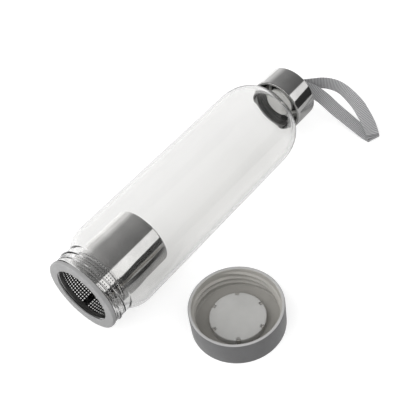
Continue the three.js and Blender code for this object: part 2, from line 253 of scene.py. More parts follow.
# The standing bottle is turned about Y, so that its base neck points to -X
lying = Matrix.Translation((face_x, axis_y, axis_z)) @ Matrix.Rotation(QUARTER, 4, "Y")
standing = Matrix()


def lathe(profile, segments, bulge=None, ring=True):
    """Points and faces of a profile turned about the upright axis. A profile point's third value
    is how far bulge(angle, height) moves it out. A ring-shaped profile ends where it starts."""
    points = []
    rows = []
    for point in profile:
        radius, height = point[0], point[1]
        sign = point[2] if len(point) > 2 else 0
        row = []
        for i in range(segments if radius > 0 else 1):
            angle = TURN * i / segments
            r = radius + sign * bulge(angle, height) if sign else radius
            row.append(len(points))
            points.append((r * math.cos(angle), r * math.sin(angle), height))
        rows.append(row)
    pairs = list(zip(rows, rows[1:]))
    if ring:
        pairs.append((rows[-1], rows[0]))
    faces = []
    for a, b in pairs:
        for i in range(segments):
            corners = [a[i % len(a)], a[(i + 1) % len(a)], b[(i + 1) % len(b)], b[i % len(b)]]
            face = list(dict.fromkeys(corners))
            if len(face) > 2:
                faces.append(face)
    return points, faces


def flat_ends(profile):
    """Adds a narrow ring round each flat end, so that smooth shading leaves the end flat"""
    ring_share = 0.96
    points = []
    for i, point in enumerate(profile):
        before = profile[i - 1] if i else None
        if before and before[0] == 0 and point[0] > 0:
            points.append((ring_share * point[0], point[1]))
        if before and point[0] == 0 and before[0] > 0:
            points.append((ring_share * before[0], before[1]))
        points.append(point)
    return points


def add_part(points, faces, part):
    """Adds the points and faces of one more part to those of a mesh"""
    more_points, more_faces = part
    faces += [[i + len(points) for i in face] for face in more_faces]
    points += more_points


def turned(name, profile, place, segments=fine_segments, bulge=None, ring=True):
    points, faces = lathe(flat_ends(profile), segments, bulge, ring)
    return mesh_object(name, points, faces, place)


def swept(path, radius, sides):
    """Points and faces of a round rod along a path of vectors"""
    points = []
    faces = []
    for i, centre in enumerate(path):
        along = (path[min(i + 1, len(path) - 1)] - path[max(i - 1, 0)]).normalized()
        side = along.orthogonal() if i == 0 else side - side.dot(along) * along
        side.normalize()
        other = along.cross(side)
        for k in range(sides):
            angle = TURN * k / sides
            points.append(centre + radius * (math.cos(angle) * side + math.sin(angle) * other))
    for i in range(len(path) - 1):
        for k in range(sides):
            n = (k + 1) % sides
            faces.append((i * sides + k, i * sides + n, (i + 1) * sides + n, (i + 1) * sides + k))
    faces.append(tuple(range(sides)))
    faces.append(tuple(range((len(path) - 1) * sides, len(path) * sides)))
    return points, faces


# Glass bottle

def dome_rise(radius, width, height):
    """How far a dome of a width and a height has risen where it has narrowed to a radius"""
    return height * (1 - (radius / width) ** dome_power) ** (1 / dome_power)


def dome(start, width, height, top_radius, steps):
    """Points of a squarish dome, from its foot on the straight body up to a radius"""
    points = []
    last_angle = math.acos((top_radius / width) ** (dome_power / 2))
    for i in range(steps + 1):
        angle = last_angle * i / steps
        r = width * math.cos(angle) ** (2 / dome_power)
        points.append((r, start + height * math.sin(angle) ** (2 / dome_power)))
    return points


def glass_bottle():
    base_bore_radius = base_neck_radius - base_neck_wall
    top_bore_radius = top_neck_radius - top_neck_wall
    body_bore = body_radius - body_wall
    base_lip = base_neck_wall / 2
    top_lip = top_neck_wall / 2
    shoulder_start = glass_rim + base_neck_length
    shoulder_end = shoulder_start + shoulder_length
    dome_end = top_rim - top_neck_length
    dome_start = dome_end - dome_rise(top_neck_radius, body_radius, dome_height)
    dome_bore_height = dome_height - body_wall
    dome_bore_end = dome_start + dome_rise(top_bore_radius, body_bore, dome_bore_height)
    shoulder_steps = 28
    dome_steps = 44
    base_thread_steps = 110
    top_thread_steps = 32
    outside = dome(dome_start, body_radius, dome_height, top_neck_radius + neck_fillet, dome_steps)
    inside = dome(dome_start, body_bore, dome_bore_height, top_bore_radius + neck_bore_fillet, dome_steps)
    neck_corner = (top_neck_radius, dome_end)
    neck_start = (top_neck_radius, dome_end + neck_fillet)
    neck_end = top_rim - top_lip
    bore_corner = (top_bore_radius, dome_bore_end)
    bore_start = (top_bore_radius, dome_bore_end + neck_bore_fillet)
    base_ridge = thread(
        base_thread_lead, base_neck_thread_low, base_neck_thread_high, base_neck_thread_angle,
        base_neck_crest, base_neck_half_width, base_thread_starts, 1,
    )
    top_ridge = thread(
        top_thread_lead, top_thread_start, top_neck_thread_end, 0,
        top_thread_crest, top_thread_half_width, 1, -1,
    )

    def ridge(angle, height):
        return base_ridge(angle, height) if height < shoulder_end else top_ridge(angle, height)

    profile = [
        *arc((base_bore_radius + base_lip, glass_rim + base_lip), base_lip, -math.pi, 0, 10),
        *threaded(
            base_neck_radius, glass_rim + base_lip + thread_margin, shoulder_start - thread_margin,
            base_thread_steps, 1,
        ),
        *bezier(
            (base_neck_radius, shoulder_start),
            (base_neck_radius, shoulder_start + shoulder_flare),
            (body_radius, shoulder_start + shoulder_crown),
            (body_radius, shoulder_end),
            shoulder_steps,
        ),
        *outside,
        *bezier(outside[-1], neck_corner, neck_corner, neck_start, 8)[1:],
        *threaded(
            top_neck_radius, neck_start[1] + thread_margin, neck_end - thread_margin,
            top_thread_steps, 1,
        ),
        *arc((top_bore_radius + top_lip, neck_end), top_lip, 0, math.pi, 10),
        *bezier(bore_start, bore_corner, bore_corner, inside[-1], 10),
        *inside[-2::-1],
        *bezier(
            (body_bore, shoulder_end),
            (body_bore, shoulder_start + shoulder_crown + body_wall),
            (base_bore_radius, shoulder_start + shoulder_flare + body_wall),
            (base_bore_radius, shoulder_start + body_wall),
            shoulder_steps,
        ),
    ]
    return turned("bottle_glass", profile, lying, bulge=ridge)


# Infuser: perforated cup and silicone ring

def hole_cell(points, faces, column, row):
    """One square of the band, with a round hole through both faces unless it lies in the seam"""
    step = TURN / hole_columns
    angle = (column + 0.5) * step
    height = hole_band_start + (row + 0.5) * hole_pitch
    half_angle = step / 2
    half_height = hole_pitch / 2
    inside_seam = seam_first <= column < seam_first + seam_columns
    thirds = (-1, -1 / 3, 1 / 3, 1)
    edge = [(t, -1) for t in thirds[:3]] + [(1, t) for t in thirds[:3]]
    edge += [(-t, 1) for t in thirds[:3]] + [(-1, -t) for t in thirds[:3]]
    count = len(edge)
    first = len(points)
    share = 0 if inside_seam else hole_radius / half_height
    for radius in (cup_radius, cup_radius - cup_wall):
        for reach in (None, share):
            for x, z in edge:
                scale = 1 if reach is None else reach / math.hypot(x, z)
                a = angle + x * scale * half_angle
                h = height + z * scale * half_height
                points.append((radius * math.cos(a), radius * math.sin(a), h))
    outer_edge, outer_hole, inner_edge, inner_hole = (first + k * count for k in range(4))
    for k in range(count):
        n = (k + 1) % count
        faces.append((outer_edge + k, outer_edge + n, outer_hole + n, outer_hole + k))
        faces.append((inner_edge + n, inner_edge + k, inner_hole + k, inner_hole + n))
        if not inside_seam:
            faces.append((outer_hole + k, outer_hole + n, inner_hole + n, inner_hole + k))


def infuser_cup():
    """Cup with its holes. Inside, the band is of the second material, steel darkened as painted shade,
    and its mouth of the third, steel also darkened as painted shade.
    """
    band_end = hole_band_start + hole_rows * hole_pitch
    cup_bore = cup_radius - cup_wall
    flange_back = flange_front + cup_wall
    flange_bend = (cup_radius + flange_fillet, flange_back + flange_fillet)
    end_bend = (cup_radius - cup_end_fillet, cup_end - cup_end_fillet)
    segments = 3 * hole_columns
    mouth = [
        (cup_radius, hole_band_start),
        *arc(flange_bend, flange_fillet, math.pi, 1.5 * math.pi, 6),
        (flange_radius, flange_back),
        (flange_radius, flange_front),
        *arc(flange_bend, flange_fillet + cup_wall, 1.5 * math.pi, math.pi, 6),
        (cup_bore, hole_band_start),
    ]
    beaker = [
        (cup_radius, band_end),
        *arc(end_bend, cup_end_fillet, 0, QUARTER, 8),
        (0, cup_end),
        (0, cup_end - cup_wall),
        *arc(end_bend, cup_end_fillet - cup_wall, QUARTER, 0, 8),
        (cup_bore, band_end),
    ]
    points = []
    faces = []
    for profile in (mouth, beaker):
        add_part(points, faces, lathe(flat_ends(profile), segments, ring=False))
    for column in range(hole_columns):
        for row in range(hole_rows):
            hole_cell(points, faces, column, row)
    cup = mesh_object("steel_infuser_cup", points, faces, lying)
    inner_side = cup_radius - 0.6 * cup_wall
    for polygon in cup.data.polygons:
        centre = polygon.center / MM
        inside = math.hypot(centre.y - axis_y, centre.z - axis_z) < inner_side
        depth = centre.x - face_x
        # Inside faces of the band and mouth take steel darkened as painted shade
        if inside and depth < band_end:
            polygon.material_index = 1 if depth > hole_band_start else 2
    return cup


def infuser_ring():
    groove_radius = flange_radius + seat_gap
    groove_back = ring_lip + cup_wall + 2 * seat_gap
    back_bore = cup_radius + flange_fillet + seat_gap
    skirt_radius = base_neck_radius - base_neck_wall - seat_gap
    edge = ring_radius - ring_edge
    mouth_edge = 0.4
    skirt_edge = 0.5
    profile = [
        *arc((ring_opening + mouth_edge, mouth_edge), mouth_edge, math.pi, 1.5 * math.pi, 5),
        *arc((edge, ring_edge), ring_edge, -QUARTER, 0, 7),
        *arc((edge, ring_thickness - ring_edge), ring_edge, 0, QUARTER, 7),
        (skirt_radius, ring_thickness),
        *arc((skirt_radius - skirt_edge, skirt_end - skirt_edge), skirt_edge, 0, QUARTER, 4),
        (back_bore, skirt_end),
        (back_bore, groove_back),
        (groove_radius, groove_back),
        (groove_radius, ring_lip),
        (ring_opening, ring_lip),
    ]
    return turned("silicone_infuser_ring", profile, lying)


# Base cap and its pad

def lug_angles():
    return [lug_first_angle + TURN * i / lug_count for i in range(lug_count)]


def lug_block(inner, outer, width, bottom, top, angle):
    """Points and faces of a block that stands out from the axis"""
    turn = Matrix.Rotation(angle, 4, "Z")
    points = []
    for z in (bottom, top):
        for r, s in ((inner, -1), (outer, -1), (outer, 1), (inner, 1)):
            points.append(turn @ Vector((r, s * width / 2, z)))
    faces = [(3, 2, 1, 0), (4, 5, 6, 7), (0, 1, 5, 4), (1, 2, 6, 5), (2, 3, 7, 6), (3, 0, 4, 7)]
    return points, faces


def base_cap():
    foot = 1.2
    rim = 0.8
    channel = 1.2
    thread_steps = 84
    platform_top = pad_high.z - pad_skin - seat_gap
    ridge = thread(
        base_thread_lead, base_cap_thread_low, base_cap_thread_high, base_cap_thread_angle,
        base_cap_crest, base_cap_half_width, base_thread_starts, -1,
    )
    rim_height = base_height - rim
    channel_top = base_floor + channel
    profile = [
        (0, 0),
        *arc((base_radius - foot, foot), foot, -QUARTER, 0, 8),
        *arc((base_radius - rim, rim_height), rim, 0, QUARTER, 7),
        *arc((base_bore + rim, rim_height), rim, QUARTER, math.pi, 7),
        *threaded(base_bore, rim_height - thread_margin, channel_top + thread_margin, thread_steps, -1),
        *arc((base_bore - channel, channel_top), channel, 0, -QUARTER, 6),
        (platform_radius, base_floor),
        (platform_radius, platform_top),
        (0, platform_top),
    ]
    points, faces = lathe(flat_ends(profile), fine_segments, ridge, ring=False)
    outer = pad_radius - seat_gap
    lug_top = pad_high.z - lug_drop
    for angle in lug_angles():
        lug = lug_block(outer - lug_depth, outer, lug_width, base_floor / 2, lug_top, angle)
        add_part(points, faces, lug)
    return mesh_object("moulded_base_cap", points, faces, standing)


def base_cap_pad():
    edge = 0.7
    flat_radius = pad_radius - 3 * edge
    bottom = pad_low.z
    notch_depth = lug_depth + seat_gap + lug_fit
    half_notch = (lug_width / 2 + lug_fit) / pad_radius
    notch_corner = 0.12
    corner = notch_corner / pad_radius
    notch_segments = 720

    def notch(angle, _height):
        away = min(abs((angle - a + math.pi) % TURN - math.pi) for a in lug_angles())
        return -notch_depth * smooth((half_notch + corner - away) / (2 * corner))

    top_edge = arc((pad_radius - edge, pad_high.z - edge), edge, 0, QUARTER, 7)
    profile = [
        (0, pad_high.z - pad_skin),
        (pad_radius - pad_skirt, pad_high.z - pad_skin),
        (pad_radius - pad_skirt, bottom),
        (pad_radius, bottom, 1),
        *[(r, z, 1) for r, z in top_edge],
        (flat_radius, pad_high.z),
        (0, pad_high.z),
    ]
    return turned("silicone_base_pad", profile, standing, notch_segments, notch, ring=False)


# Top cap: steel shell, moulded liner, seal and plug pad

def top_cap_shell():
    """Shell hemmed inwards under the liner; the hem is of the second material, steel darkened as painted
    shade under the cap
    """
    bore = shell_radius - shell_wall
    edge = (shell_radius - shell_edge, cap_top - shell_edge)
    hem = sleeve_bottom - seat_gap - cap_bottom
    hem_edge = (sleeve_bore + hem / 2, cap_bottom + hem / 2)
    roll = 0.6
    profile = [
        (0, cap_top - shell_wall),
        *arc(edge, shell_edge - shell_wall, QUARTER, 0, 8),
        (bore, cap_bottom + hem),
        *arc(hem_edge, hem / 2, QUARTER, 1.5 * math.pi, 8),
        *arc((shell_radius - roll, cap_bottom + roll), roll, -QUARTER, 0, 6),
        *arc(edge, shell_edge, 0, QUARTER, 8),
        (0, cap_top),
    ]
    shell = turned("steel_cap_shell", profile, lying, ring=False)
    for polygon in shell.data.polygons:
        centre = polygon.center / MM
        radius = math.hypot(centre.y - axis_y, centre.z - axis_z)
        # The hem under the cap gets steel darkened as painted shade
        under = centre.x - face_x < cap_bottom + hem and radius < shell_radius - roll
        polygon.material_index = 1 if under else 0
    return shell


def top_cap_insert():
    ridge = thread(
        top_thread_lead, top_thread_start, liner_thread_end, math.pi,
        top_thread_crest, top_thread_half_width, 1, 1,
    )
    plug_edge = 0.5
    sleeve_edge = 0.3
    sleeve_low = sleeve_bottom + sleeve_edge
    thread_steps = 28
    stud_bore = stud_radius + seat_gap
    bore_end = plug_end + stud_length
    profile = [
        (0, bore_end),
        (stud_bore, bore_end),
        (stud_bore, plug_end),
        *arc((plug_radius - plug_edge, plug_end + plug_edge), plug_edge, -QUARTER, 0, 4),
        (plug_radius, disc_bottom),
        (sleeve_bore, disc_bottom),
        *threaded(sleeve_bore, disc_bottom - thread_margin, sleeve_low + thread_margin, thread_steps, -1),
        *arc((sleeve_bore + sleeve_edge, sleeve_low), sleeve_edge, math.pi, 1.5 * math.pi, 4),
        *arc((sleeve_radius - sleeve_edge, sleeve_low), sleeve_edge, -QUARTER, 0, 4),
        (sleeve_radius, insert_top - shell_edge),
        (sleeve_radius - shell_edge, insert_top),
        (0, insert_top),
    ]
    return turned("moulded_cap_liner", profile, lying, coarse_segments, ridge, ring=False)


def neck_seal():
    inner = seal_radius - seal_width
    round_off = 0.3
    profile = [
        *arc((inner + round_off, seal_bottom + round_off), round_off, math.pi, 1.5 * math.pi, 3),
        *arc((seal_radius - round_off, seal_bottom + round_off), round_off, -QUARTER, 0, 3),
        *arc((seal_radius - round_off, seal_top - round_off), round_off, 0, QUARTER, 3),
        *arc((inner + round_off, seal_top - round_off), round_off, QUARTER, math.pi, 3),
    ]
    return turned("silicone_neck_seal", profile, lying, coarse_segments)


def plug_pad():
    back = plug_front + plug_pad_thickness
    edge = 0.6
    profile = [
        (0, plug_front),
        *arc((plug_radius - edge, plug_front + edge), edge, -QUARTER, 0, 6),
        (plug_radius, back),
        (stud_radius, back),
        (stud_radius, stud_end),
        (0, stud_end),
    ]
    return turned("silicone_plug_pad", profile, lying, coarse_segments, ring=False)


# Wire staple, in the plane that stands upright through the bottle's axis

def strap_staple():
    foot = staple_low.x
    bar = staple_high.x - wire_radius
    side = (staple_high.z - staple_low.z) / 2 - wire_radius
    corner_steps = 10
    wire_sides = 20
    low_corner = axis_z - side + staple_corner
    high_corner = axis_z + side - staple_corner
    path = [Vector((foot, axis_y, axis_z - side))]
    for centre_z, start in ((low_corner, -math.pi), (high_corner, QUARTER)):
        for i in range(corner_steps + 1):
            angle = start - QUARTER * i / corner_steps
            x = bar - staple_corner + staple_corner * abs(math.sin(angle))
            z = centre_z + staple_corner * math.cos(angle)
            path.append(Vector((x, axis_y, z)))
    path.append(Vector((foot, axis_y, axis_z + side)))
    points, faces = swept(path, wire_radius, wire_sides)
    return mesh_object("steel_wire_staple", points, faces)


# Ribbon loop. The route is that of the part's source: distance out from the cap's top plate,
# sideways distance from the bottle's axis, and height as a share of the axis height

strap_width = 10
strap_thickness = 0.8
strap_fold_radius = 0.75
strap_floor_gap = 0.35
strap_across_steps = 6
strap_tip = (17, -62.2)
strap_crease = Vector((0.93, -0.36, 0)).normalized()
strap_lower_leg = [
    (7.5, -3.4, 0.985),
    (12.5, -11, 0.85),
    (15, -19, 0.68),
    (16, -28, 0.48),
    (17, -37, 0.31),
    (17.5, -46, 0.165),
    (17.2, -55, 0.06),
]
strap_upper_leg = [
    (19.5, -59, 0.17),
    (20.5, -55.4, 0.34),
    (21.5, -50.4, 0.52),
    (22.5, -45.2, 0.68),
    (23.5, -38.6, 0.8),
    (24.6, -32, 0.875),
    (25.2, -25.5, 0.91),
    (24, -19, 0.93),
    (21, -13, 0.945),
    (16.5, -8, 0.955),
    (11, -2.6, 0.975),
    (7, 0.8, 0.99),
]


def catmull_rom(route, position):
    """Point of a closed centripetal curve through the route; position counts its points"""
    count = len(route)
    first = int(position) % count
    share = position - int(position)
    p = [route[(first + k - 1) % count] for k in range(4)]
    steps = [math.sqrt((p[k + 1] - p[k]).length) for k in range(3)]
    before = (p[1] - p[0]) / steps[0] - (p[2] - p[0]) / (steps[0] + steps[1]) + (p[2] - p[1]) / steps[1]
    after = (p[2] - p[1]) / steps[1] - (p[3] - p[1]) / (steps[1] + steps[2]) + (p[3] - p[2]) / steps[2]
    m1 = before * steps[1]
    m2 = after * steps[1]
    t = share
    return (
        (2 * t ** 3 - 3 * t ** 2 + 1) * p[1]
        + (t ** 3 - 2 * t ** 2 + t) * m1
        + (3 * t ** 2 - 2 * t ** 3) * p[2]
        + (t ** 3 - t ** 2) * m2
    )


def strap_route():
    """The closed loop in four runs: down from the wire, round the fold at the tip, back up, and
    round the wire"""
    turn_steps = 6
    turn_radius = wire_radius + seat_gap + strap_thickness / 2
    bar_out = staple_high.x - wire_radius - plate_x
    reach = Vector((strap_crease.y, -strap_crease.x, 0))
    tip = Vector((*strap_tip, strap_floor_gap + strap_thickness / 2))
    fold_top = Vector((0, 0, 2 * strap_fold_radius))
    lower = [Vector((bar_out, -turn_radius, axis_z))]
    lower += [Vector((x, y, share * axis_z)) for x, y, share in strap_lower_leg]
    fold = [tip, tip + fold_top / 2 + strap_fold_radius * reach, tip + fold_top]
    upper = [Vector((x, y, share * axis_z)) for x, y, share in strap_upper_leg]
    upper.append(Vector((bar_out, turn_radius, axis_z)))
    around = []
    for i in range(1, turn_steps):
        angle = math.pi * i / turn_steps
        out = bar_out - turn_radius * math.sin(angle)
        around.append(Vector((out, turn_radius * math.cos(angle), axis_z)))
    return lower, fold, upper, around


def strap_lean(position, lower, fold, upper):
    """How far the ribbon lies over: 0 on edge, as at the wire, and 1 flat, as at the tip"""
    if position <= len(lower):
        return 1 - (1 - position / len(lower)) ** 3
    after_fold = position - len(lower) - len(fold) + 1
    if after_fold <= 0:
        return 1
    return max(0, 1 - after_fold / (len(upper) - 1)) ** 2


def map_weave(mesh, stations, length, tip_station):
    """Coordinates of the weave in millimetres: across the ribbon, and along it from the tip"""
    ring_size = 2 * (strap_across_steps + 1)
    weave = mesh.uv_layers.new(name="weave")
    for polygon in mesh.polygons:
        last = polygon.index // ring_size == len(stations) - 1
        for loop in polygon.loop_indices:
            section, k = divmod(mesh.loops[loop].vertex_index, ring_size)
            k = k if k <= strap_across_steps else ring_size - 1 - k
            station = length if last and section == 0 else stations[section]
            weave.data[loop].uv = (k / strap_across_steps * strap_width, station - tip_station)


def carry_strap():
    """The ribbon, with its length"""
    steps_per_span = 10
    look_ahead = 0.02
    thin_edge = 0.65
    sharp_edge = math.radians(50)
    lower, fold, upper, around = strap_route()
    route = [*lower, *fold, *upper, *around]
    sections = len(route) * steps_per_span
    place = Vector((plate_x, axis_y, 0))
    points = []
    stations = []
    length = 0
    for i in range(sections):
        position = i / steps_per_span
        centre = catmull_rom(route, position)
        along = (catmull_rom(route, position + look_ahead) - centre).normalized()
        lean = strap_lean(position, lower, fold, upper) * QUARTER
        across = math.cos(lean) * Vector((0, 0, 1)) + math.sin(lean) * strap_crease
        across = (across - across.dot(along) * along).normalized()
        face = along.cross(across)
        for side in (1, -1):
            for k in range(strap_across_steps + 1):
                share = side * (1 - 2 * k / strap_across_steps)
                thinness = thin_edge if k in (0, strap_across_steps) else 1
                offset = across * share * strap_width / 2 + face * side * thinness * strap_thickness / 2
                points.append(place + centre + offset)
        stations.append(length)
        length += (catmull_rom(route, position + 1 / steps_per_span) - centre).length
    ring_size = 2 * (strap_across_steps + 1)
    faces = []
    for i in range(sections):
        n = (i + 1) % sections
        for k in range(ring_size):
            m = (k + 1) % ring_size
            faces.append((i * ring_size + k, i * ring_size + m, n * ring_size + m, n * ring_size + k))
    mesh = bpy.data.meshes.new("ribbon")
    mesh.from_pydata([MM * p for p in points], [], faces)
    map_weave(mesh, stations, length, stations[(len(lower) + 1) * steps_per_span])
    edit = bmesh.new()
    edit.from_mesh(mesh)
    bmesh.ops.recalc_face_normals(edit, faces=edit.faces)
    edit.to_mesh(mesh)
    edit.free()
    mesh.shade_smooth()
    mesh.set_sharp_from_angle(angle=sharp_edge)
    return new_object("woven_carry_strap", mesh), length


# Materials

def new_material(name):
    """A material, with its node tree and its shader"""
    material = bpy.data.materials.new(name)
    material.use_nodes = True
    tree = material.node_tree
    return material, tree, tree.nodes["Principled BSDF"]


def plug(tree, value, socket):
    """Links another node's output to an input, or sets the input to a number or a colour"""
    if isinstance(value, bpy.types.NodeSocket):
        tree.links.new(value, socket)
    else:
        socket.default_value = value


def calculate(tree, operation, *values):
    """Result of an operation on numbers and other nodes' outputs"""
    node = tree.nodes.new("ShaderNodeMath")
    node.operation = operation
    for socket, value in zip(node.inputs, values):
        plug(tree, value, socket)
    return node.outputs[0]


def map_range(tree, value, source, target=(0, 1), clamp=True):
    """Maps a value from a source range to a target range"""
    node = tree.nodes.new("ShaderNodeMapRange")
    node.clamp = clamp
    plug(tree, value, node.inputs["Value"])
    for name, number in zip(("From Min", "From Max", "To Min", "To Max"), (*source, *target)):
        node.inputs[name].default_value = number
    return node.outputs["Result"]


def mixed(tree, factor, first, second, kind="RGBA", blend="MIX"):
    """Mix of two colours, or of two numbers if the kind is FLOAT"""
    node = tree.nodes.new("ShaderNodeMix")
    node.data_type = kind
    node.blend_type = blend
    for name, value in (("Factor", factor), ("A", first), ("B", second)):
        plug(tree, value, node.inputs[name])
    return node.outputs["Result"]


def noise(tree, scale, detail=4, stretch=(1, 1, 1)):
    """Noise over the piece's own coordinates, stretched along its axes"""
    where = tree.nodes.new("ShaderNodeTexCoord")
    mapping = tree.nodes.new("ShaderNodeMapping")
    mapping.inputs["Scale"].default_value = stretch
    texture = tree.nodes.new("ShaderNodeTexNoise")
    texture.inputs["Scale"].default_value = scale
    texture.inputs["Detail"].default_value = detail
    tree.links.new(where.outputs["Object"], mapping.inputs["Vector"])
    tree.links.new(mapping.outputs["Vector"], texture.inputs["Vector"])
    return texture.outputs["Fac"]


def spread(tree, value, low, high):
    """Maps the range in which noise mostly lies to low..high"""
    usual_noise = (0.3, 0.7)
    return map_range(tree, value, usual_noise, (low, high))


def bump(tree, shader, value, strength, distance):
    """Relief on a shader's surface; the distance is in millimetres"""
    node = tree.nodes.new("ShaderNodeBump")
    node.inputs["Strength"].default_value = strength
    node.inputs["Distance"].default_value = distance * MM
    tree.links.new(value, node.inputs["Height"])
    tree.links.new(node.outputs["Normal"], shader.inputs["Normal"])


def tinted(tree, shade, tint):
    """Grey of a varying shade, with a slight tint"""
    node = tree.nodes.new("ShaderNodeCombineColor")
    for channel, share in zip(("Red", "Green", "Blue"), tint):
        tree.links.new(calculate(tree, "MULTIPLY", shade, share), node.inputs[channel])
    return node.outputs["Color"]


def glass_material():
    """Clear glass with the slow waves of a blown wall, which lets light through to the floor"""
    material, tree, shader = new_material("clear glass")
    shader.inputs["Base Color"].default_value = (0.97, 0.968, 0.963, 1)
    shader.inputs["Transmission Weight"].default_value = 1
    shader.inputs["IOR"].default_value = 1.47
    shader.inputs["Roughness"].default_value = 0
    shader.inputs["Specular Tint"].default_value = (0.3, 0.3, 0.3, 1)
    bump(tree, shader, noise(tree, scale=45, detail=1), strength=0.05, distance=0.25)
    clear = tree.nodes.new("ShaderNodeBsdfTransparent")
    clear.inputs["Color"].default_value = (0.93, 0.93, 0.925, 1)
    path = tree.nodes.new("ShaderNodeLightPath")
    either = tree.nodes.new("ShaderNodeMixShader")
    lights = calculate(tree, "MAXIMUM", path.outputs["Is Shadow Ray"], path.outputs["Is Diffuse Ray"])
    tree.links.new(lights, either.inputs[0])
    tree.links.new(shader.outputs["BSDF"], either.inputs[1])
    tree.links.new(clear.outputs["BSDF"], either.inputs[2])
    tree.links.new(either.outputs["Shader"], tree.nodes["Material Output"].inputs["Surface"])
    return material


def steel_material(name, shades, roughness):
    """Steel of a range of shades and of roughness, with fine turning marks round the bottle's axis"""
    material, tree, shader = new_material(name)
    shader.inputs["Metallic"].default_value = 1
    shade = spread(tree, noise(tree, scale=90), *shades)
    tree.links.new(tinted(tree, shade, (1, 0.995, 0.985)), shader.inputs["Base Color"])
    marks = noise(tree, scale=1, detail=3, stretch=(2600, 30, 30))
    tree.links.new(spread(tree, marks, *roughness), shader.inputs["Roughness"])
    bump(tree, shader, marks, strength=0.05, distance=0.02)
    return material


def moulded_material(name, shades, tint, roughness, grain_scale, grain):
    """Silicone or plastic: slow shade changes and a fine moulded grain"""
    material, tree, shader = new_material(name)
    shade = spread(tree, noise(tree, scale=70, detail=6), *shades)
    tree.links.new(tinted(tree, shade, tint), shader.inputs["Base Color"])
    fine = noise(tree, grain_scale, detail=2)
    tree.links.new(spread(tree, fine, *roughness), shader.inputs["Roughness"])
    shader.inputs["Specular IOR Level"].default_value = 0.35
    bump(tree, shader, fine, grain, distance=0.08)
    return material


def coated_material(name, coat, rim, bare):
    """Moulded plastic: bare inside, paler on its rim as a painted highlight on the rim's top, and with a
    dark coat on its outer wall
    """
    edge_start = 0.1
    edge_end = 0.5
    coat_sheen = 0.4
    material, tree, shader = new_material(name)
    where = tree.nodes.new("ShaderNodeTexCoord")
    level = tree.nodes.new("ShaderNodeVectorMath")
    level.operation = "MULTIPLY"
    level.inputs[1].default_value = (1, 1, 0)
    tree.links.new(where.outputs["Object"], level.inputs[0])
    away = tree.nodes.new("ShaderNodeVectorMath")
    away.operation = "LENGTH"
    tree.links.new(level.outputs["Vector"], away.inputs[0])
    radius = away.outputs["Value"]
    outside = map_range(tree, radius, ((base_radius - edge_end) * MM, (base_radius - edge_start) * MM))
    # Painted highlight: the rim's top face is given a paler colour than the bare inside
    painted_highlight_on_rim = map_range(tree, radius, ((base_bore + edge_start) * MM, (base_bore + edge_end) * MM))
    moulded = mixed(tree, painted_highlight_on_rim, (*bare, 1), (*rim, 1))
    grey = mixed(tree, outside, moulded, (*coat, 1))
    mottle = spread(tree, noise(tree, scale=70, detail=6), 0.93, 1.07)
    tree.links.new(mixed(tree, 1, grey, mottle, blend="MULTIPLY"), shader.inputs["Base Color"])
    fine = noise(tree, scale=1600, detail=2)
    tree.links.new(spread(tree, fine, 0.36, 0.52), shader.inputs["Roughness"])
    shader.inputs["Specular IOR Level"].default_value = 0.35
    tree.links.new(calculate(tree, "MULTIPLY", outside, coat_sheen), shader.inputs["Sheen Weight"])
    shader.inputs["Sheen Roughness"].default_value = 0.4
    bump(tree, shader, fine, strength=0.15, distance=0.08)
    return material


def ribbon_material():
    """Ribbed weave: round ribs across the ribbon and yarns along it, darker in their grooves as painted
    shade, and a darker band round the fold at the tip
    """
    rib_pitch = 1.15
    yarn_pitch = 0.55
    yarn_share = 0.3
    shades = (0.11, 0.57)
    tip_depth = 3.2
    tip_blur = 0.3
    tip_shade = 0.62
    material, tree, shader = new_material("woven ribbon")
    where = tree.nodes.new("ShaderNodeUVMap")
    where.uv_map = "weave"
    split = tree.nodes.new("ShaderNodeSeparateXYZ")
    tree.links.new(where.outputs["UV"], split.inputs["Vector"])

    def wave(distance, pitch):
        angle = calculate(tree, "MULTIPLY", distance, TURN / pitch)
        return map_range(tree, calculate(tree, "SINE", angle), (-1, 1))

    ribs = wave(split.outputs["Y"], rib_pitch)
    yarns = wave(split.outputs["X"], yarn_pitch)
    weave = calculate(tree, "MULTIPLY_ADD", yarns, yarn_share, ribs)
    # Painted shade: the colour is darkest where the weave's bump is lowest, in the grooves between ribs
    # and yarns
    shade = map_range(tree, weave, (0, 1 + yarn_share), shades)
    # Darker band round the fold at the tip
    from_tip = calculate(tree, "ABSOLUTE", split.outputs["Y"])
    darker_band = map_range(tree, from_tip, (tip_depth - tip_blur, tip_depth + tip_blur), (tip_shade, 1))
    darkened_at_tip = calculate(tree, "MULTIPLY", shade, darker_band)
    tree.links.new(tinted(tree, darkened_at_tip, (1, 1, 1.02)), shader.inputs["Base Color"])
    shader.inputs["Roughness"].default_value = 0.8
    shader.inputs["Sheen Weight"].default_value = 0.2
    bump(tree, shader, weave, strength=0.9, distance=0.2)
    return material


def dress(obj, material, node, body):
    """Gives a piece its material and puts it in the place of a CAD node"""
    obj.data.materials.append(material)
    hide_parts(node)
    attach(obj, body)


clear_glass = glass_material()
polished_steel = steel_material("polished steel", shades=(0.6, 0.68), roughness=(0.06, 0.11))
# Satin steel darkened as painted shade, for the cup's mouth inside and the hem under the cap
shaded_satin_steel = steel_material("satin steel in painted shade", shades=(0.24, 0.3), roughness=(0.4, 0.55))
